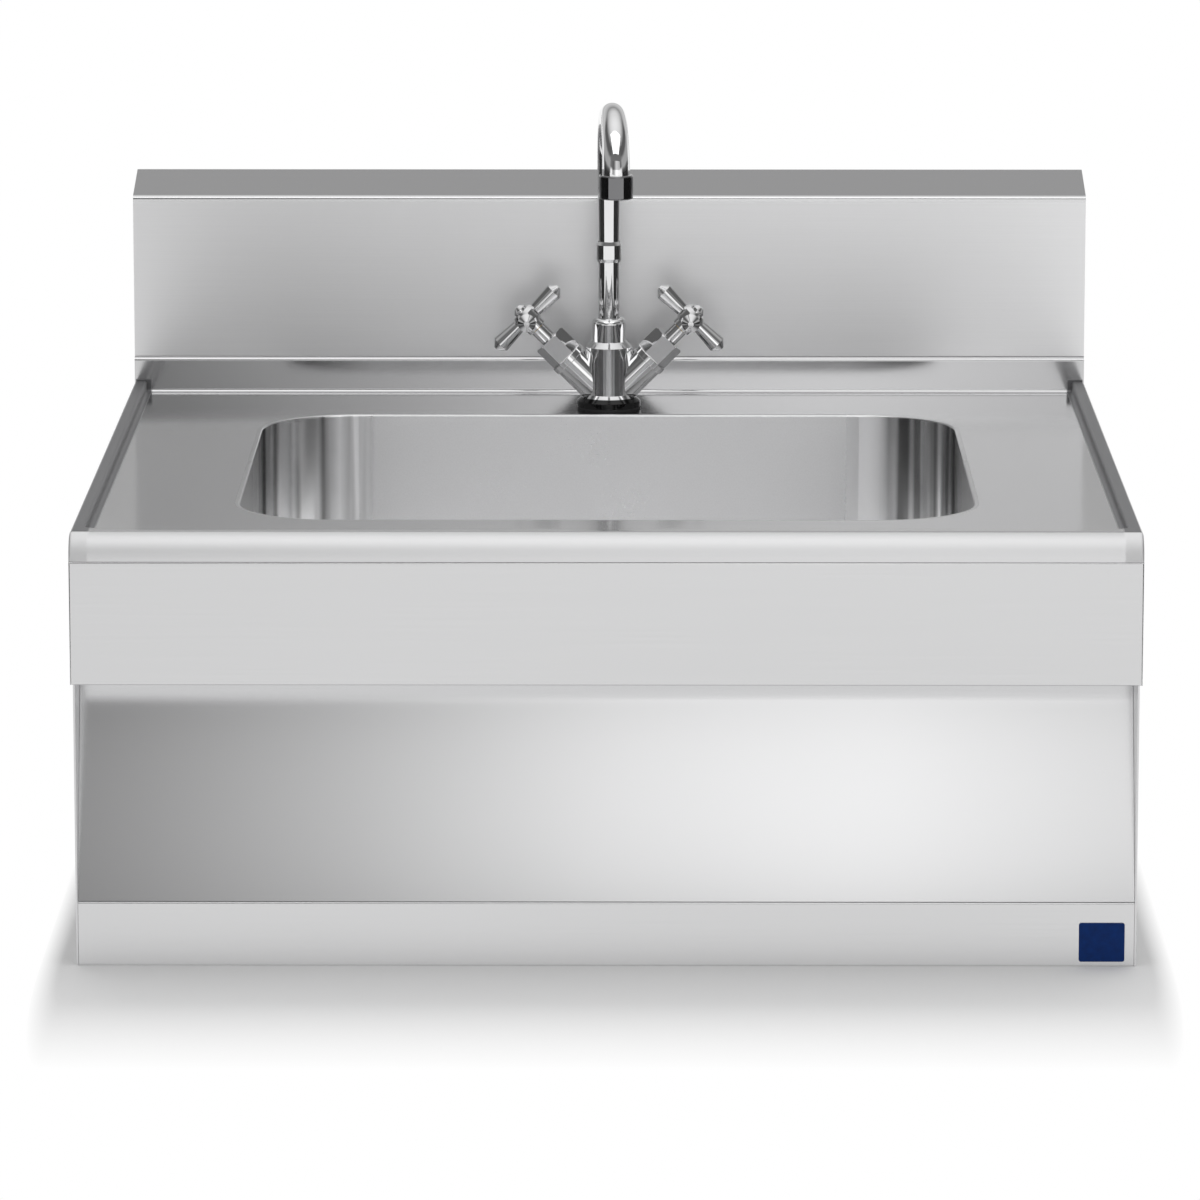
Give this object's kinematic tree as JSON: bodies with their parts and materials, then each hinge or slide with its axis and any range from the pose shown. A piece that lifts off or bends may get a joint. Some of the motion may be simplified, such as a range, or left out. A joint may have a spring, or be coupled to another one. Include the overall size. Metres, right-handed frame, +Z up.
{
  "type": "hand basin unit",
  "caption": "Counter-top stainless wash basin unit with a rimmed worktop, deep rounded bowl, splashback, closed casing and a swivel-spout mixer tap with cross handles.",
  "frame": {"origin": "middle of the footprint, on the surface the unit stands on", "axes": "+X to the user's right, +Y to the splashback and the wall, +Z up"},
  "size_m": [0.7, 0.7, 0.5073],
  "materials": {
    "satin_steel": "satin stainless sheet with soft reflections",
    "hidden_steel": "plain mill-finish stainless sheet",
    "waste_steel": "polished stainless pressing",
    "waste_plastic": "white moulded plastic",
    "blue_badge": "plain blue enamel",
    "tap_chrome": "polished chrome plate",
    "tap_brass": "turned brass",
    "handle_screw_steel": "plain steel",
    "copper_tail": "bare copper tube",
    "seal_rubber": "black rubber",
    "valve_ceramic": "lapped ceramic",
    "aerator_plastic": "dark moulded plastic"
  },
  "bodies": {
    "unit": {"backsplash": "satin_steel", "badge_plate": "blue_badge", "bottom_rail": "satin_steel", "bowl": "satin_steel", "cold_fixed_disc": "valve_ceramic", "cold_supply_tail": "copper_tail", "cold_valve_bonnet": "tap_chrome", "front_fascia": "satin_steel", "front_panel": "satin_steel", "hot_fixed_disc": "valve_ceramic", "hot_supply_tail": "copper_tail", "hot_valve_bonnet": "tap_chrome", "left_deck_stiffener": "hidden_steel", "left_side_panel": "satin_steel", "left_splash_cap": "satin_steel", "rear_base_rail": "hidden_steel", "rear_panel": "hidden_steel", "rear_panel_screws": "hidden_steel", "right_deck_stiffener": "hidden_steel", "right_side_panel": "satin_steel", "right_splash_cap": "satin_steel", "spout_nut": "tap_chrome", "tap_back_nut": "tap_brass", "tap_base_gasket": "seal_rubber", "tap_body": "tap_chrome", "tap_plate": "hidden_steel", "tap_rubber_washer": "seal_rubber", "tap_shank": "tap_brass", "tap_steel_washer": "hidden_steel", "waste_body": "waste_plastic", "waste_bolt": "waste_steel", "waste_flange": "waste_steel", "waste_lower_gasket": "seal_rubber", "waste_nut": "waste_plastic", "waste_strainer": "waste_steel", "waste_tailpiece": "waste_plastic", "waste_upper_gasket": "seal_rubber", "worktop": "satin_steel"},
    "spout": {"spout_riser": "tap_chrome", "spout_o_rings": "seal_rubber", "spout_collar": "tap_chrome", "spout_neck": "tap_chrome", "aerator_housing": "tap_chrome", "aerator_insert": "aerator_plastic"},
    "hot_control": {"hot_moving_disc": "valve_ceramic", "hot_spindle": "tap_brass", "hot_handle": "tap_chrome", "hot_handle_screw": "handle_screw_steel", "hot_index_cap": "tap_chrome"},
    "cold_control": {"cold_moving_disc": "valve_ceramic", "cold_spindle": "tap_brass", "cold_handle": "tap_chrome", "cold_handle_screw": "handle_screw_steel", "cold_index_cap": "tap_chrome"}
  },
  "joints": [
    {"name": "spout_swivel", "type": "hinge", "parent": "unit", "child": "spout", "pos_m": [0, 0.2205, 0.28], "axis": [0, 0, 1], "continuous": true},
    {"name": "hot_turn", "type": "hinge", "parent": "unit", "child": "hot_control", "pos_m": [0, 0.2205, 0.2865], "axis": [-0.7071, 0, 0.7071], "range_deg": [0, 90]},
    {"name": "cold_turn", "type": "hinge", "parent": "unit", "child": "cold_control", "pos_m": [0, 0.2205, 0.2865], "axis": [0.7071, 0, 0.7071], "range_deg": [0, 90]}
  ]
}
